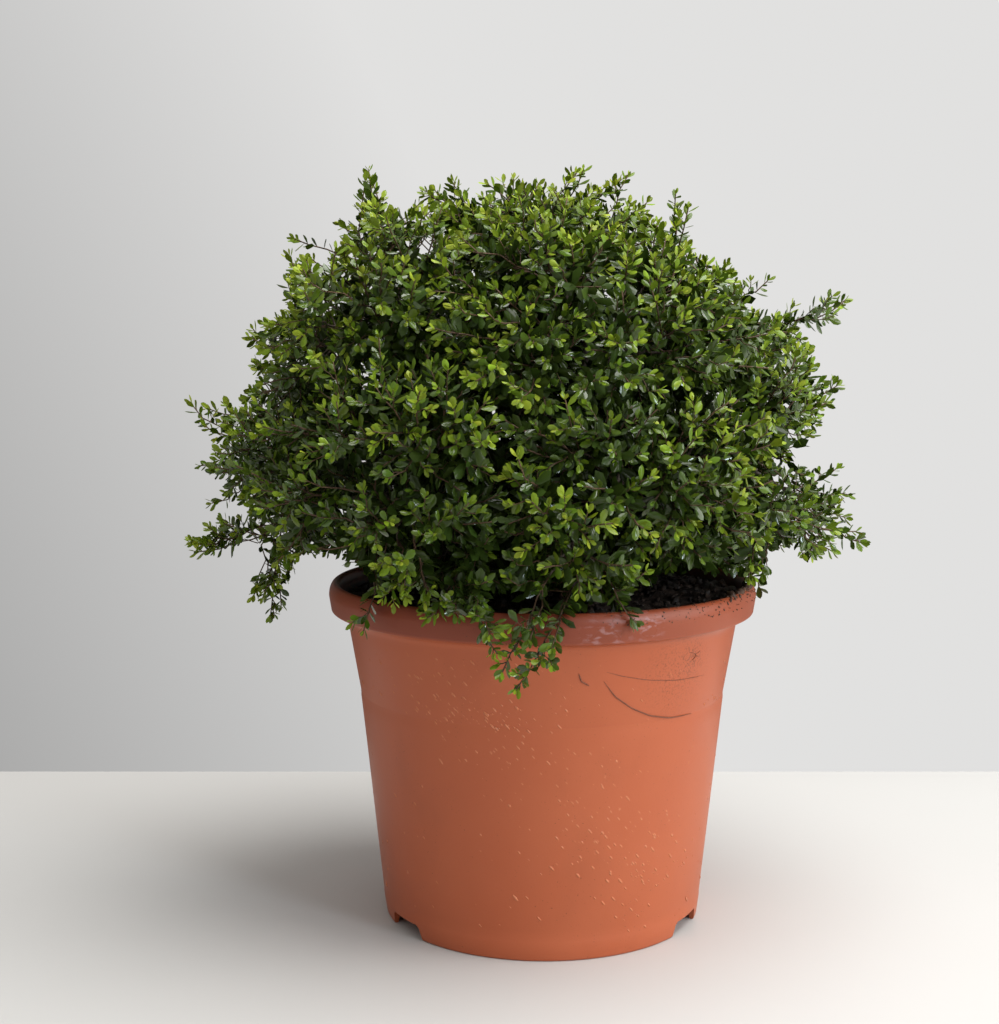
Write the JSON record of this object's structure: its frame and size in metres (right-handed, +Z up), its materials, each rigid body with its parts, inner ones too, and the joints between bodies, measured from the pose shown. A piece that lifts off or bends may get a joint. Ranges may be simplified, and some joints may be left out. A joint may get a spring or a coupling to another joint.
{
  "type": "potted japanese holly shrub",
  "caption": "Small evergreen shrub with a dense, bushy crown of little glossy leaves, growing in a round terracotta-coloured plastic nursery pot.",
  "frame": {"origin": "middle of the pot's flat underside, on the surface that it stands on", "axes": "+Z up along the pot's axis, the height of pot and plant being the longest extent; the viewer of the picture stands on the -Y side and has +X on the right"},
  "size_m": [0.4596, 0.3808, 0.4994],
  "materials": {
    "pot": "satin moulded plastic, terracotta colour, a little soiled and wet",
    "soil": "moist, crumbly dark potting soil",
    "bark": "rough grey-brown bark",
    "foliage": "glossy dark green leaves with yellow-green young growth"
  },
  "bodies": {
    "root": {"pot": "pot", "soil": "soil", "trunk": "bark", "bough_low_front_right": "bark", "bough_low_right": "bark", "bough_low_back_right": "bark", "bough_low_back_left": "bark", "bough_low_left": "bark", "bough_low_front_left": "bark", "bough_high_front": "bark", "bough_high_right": "bark", "bough_high_back": "bark", "bough_high_left": "bark", "bough_top": "bark", "foliage_low_front_right": "foliage", "foliage_low_right": "foliage", "foliage_low_back_right": "foliage", "foliage_low_back_left": "foliage", "foliage_low_left": "foliage", "foliage_low_front_left": "foliage", "foliage_high_front": "foliage", "foliage_high_right": "foliage", "foliage_high_back": "foliage", "foliage_high_left": "foliage", "foliage_top": "foliage"}
  },
  "joints": []
}
